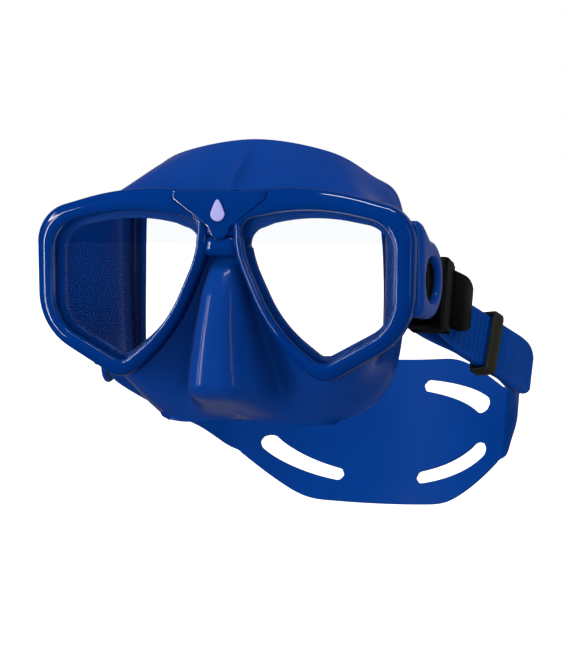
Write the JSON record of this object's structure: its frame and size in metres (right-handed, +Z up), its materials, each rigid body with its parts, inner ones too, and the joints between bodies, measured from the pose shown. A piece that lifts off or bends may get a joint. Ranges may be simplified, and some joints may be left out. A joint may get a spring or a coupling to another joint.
{
  "type": "diving mask",
  "caption": "Low-volume twin-lens diving mask with a silicone skirt, nose pocket, swivel buckles with release levers and a slotted silicone head strap.",
  "frame": {"origin": "middle of the face opening (3 mm below its exact centre), where the skirt seals on the face, in the plane of the temples' sealing lip", "axes": "+Z up, -Y out through the lenses, +X to the wearer's left"},
  "size_m": [0.2022, 0.2482, 0.1754],
  "materials": {
    "silicone_blue": "satin moulded silicone, deep blue",
    "strap_silicone": "smooth moulded silicone, blue",
    "frame_blue": "glossy moulded plastic, deep blue",
    "lens_glass": "clear tempered glass",
    "badge_lavender": "satin, pale lavender",
    "buckle_black": "satin moulded nylon, black",
    "keeper_black": "satin moulded nylon, dark grey",
    "pin_steel": "stainless steel pin"
  },
  "bodies": {
    "mask": {"skirt": "silicone_blue", "lens_left": "lens_glass", "lens_right": "lens_glass", "rim_left": "frame_blue", "rim_right": "frame_blue", "bridge_link": "frame_blue"},
    "bridge": {"bridge_clip": "frame_blue", "bridge_badge": "badge_lavender"},
    "strap_loop": {"strap": "strap_silicone"},
    "buckle_left": {"buckle_body_left": "buckle_black", "swivel_cap_left": "buckle_black", "lever_pin_left": "pin_steel"},
    "buckle_right": {"buckle_body_right": "buckle_black", "swivel_cap_right": "buckle_black", "lever_pin_right": "pin_steel"},
    "roller_left": {"strap_roller_left": "buckle_black"},
    "roller_right": {"strap_roller_right": "buckle_black"},
    "lever_left": {"release_lever_left": "buckle_black"},
    "lever_right": {"release_lever_right": "buckle_black"},
    "keeper_left": {"strap_keeper_left": "keeper_black"},
    "keeper_right": {"strap_keeper_right": "keeper_black"}
  },
  "joints": [
    {"name": "strap_swing", "type": "hinge", "parent": "mask", "child": "strap_loop", "pos_m": [0, -0.025, 0.0048], "axis": [1, 0, 0], "range_deg": [-36, 45]},
    {"name": "buckle_swing_left", "type": "hinge", "parent": "mask", "child": "buckle_left", "pos_m": [0.078, -0.025, 0.0048], "axis": [1, 0, 0], "range_deg": [-36, 45]},
    {"name": "buckle_swing_right", "type": "hinge", "parent": "mask", "child": "buckle_right", "pos_m": [-0.078, -0.025, 0.0048], "axis": [1, 0, 0], "range_deg": [-36, 45]},
    {"name": "roller_spin_left", "type": "hinge", "parent": "buckle_left", "child": "roller_left", "pos_m": [0.07, -0.00014, -0.0028], "axis": [0, 0.2924, 0.9563], "continuous": true},
    {"name": "roller_spin_right", "type": "hinge", "parent": "buckle_right", "child": "roller_right", "pos_m": [-0.07, -0.00014, -0.0028], "axis": [0, 0.2924, 0.9563], "continuous": true},
    {"name": "lever_lift_left", "type": "hinge", "parent": "buckle_left", "child": "lever_left", "pos_m": [0.0826, 0.00321, -0.00382], "axis": [0, -0.2924, -0.9563], "range_deg": [0, 15], "stiffness_Nm_per_rad": 0.05},
    {"name": "lever_lift_right", "type": "hinge", "parent": "buckle_right", "child": "lever_right", "pos_m": [-0.0826, 0.00321, -0.00382], "axis": [0, 0.2924, 0.9563], "range_deg": [0, 15], "stiffness_Nm_per_rad": 0.05},
    {"name": "keeper_slide_left", "type": "slide", "parent": "strap_loop", "child": "keeper_left", "axis": [0.3504, 0.8493, -0.3948], "range_m": [-0.003, 0.008]},
    {"name": "keeper_slide_right", "type": "slide", "parent": "strap_loop", "child": "keeper_right", "axis": [-0.3504, 0.8493, -0.3948], "range_m": [-0.003, 0.008]},
    {"name": "clip_release", "type": "slide", "parent": "mask", "child": "bridge", "axis": [0, -1, 0], "range_m": [0, 0.012]}
  ],
  "couplings": [
    {"joint": "buckle_swing_left", "follows": "strap_swing", "ratio": 1},
    {"joint": "buckle_swing_right", "follows": "strap_swing", "ratio": 1}
  ]
}
